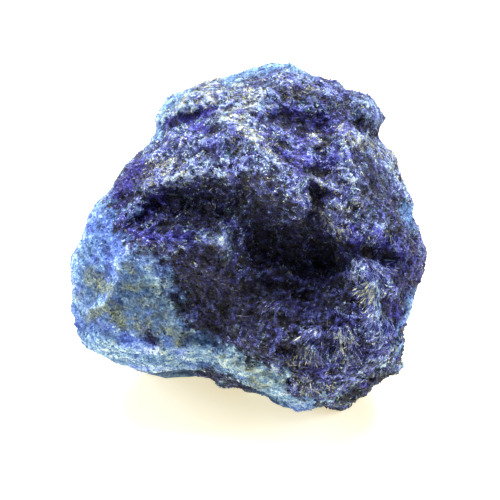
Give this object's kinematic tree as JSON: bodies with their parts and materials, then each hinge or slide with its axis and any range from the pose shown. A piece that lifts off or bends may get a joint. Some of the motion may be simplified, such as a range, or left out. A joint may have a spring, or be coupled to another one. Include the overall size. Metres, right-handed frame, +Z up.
{
  "type": "azurite specimen",
  "caption": "Rough lump of dark blue azurite with a pale chalky rind, resting on a worn flat patch of its underside.",
  "frame": {"origin": "on the surface that the lump rests on, under the middle of its plan", "axes": "+Z up, +X to the right of a viewer of the crystal face, -Y towards that viewer"},
  "size_m": [0.0502, 0.0492, 0.0458],
  "materials": {
    "azurite": "fine interlocking needles, sparkling, dark indigo, with matt chalky pale blue rind round the edges and on the back"
  },
  "bodies": {
    "root": {"azurite_specimen": "azurite"}
  },
  "joints": []
}
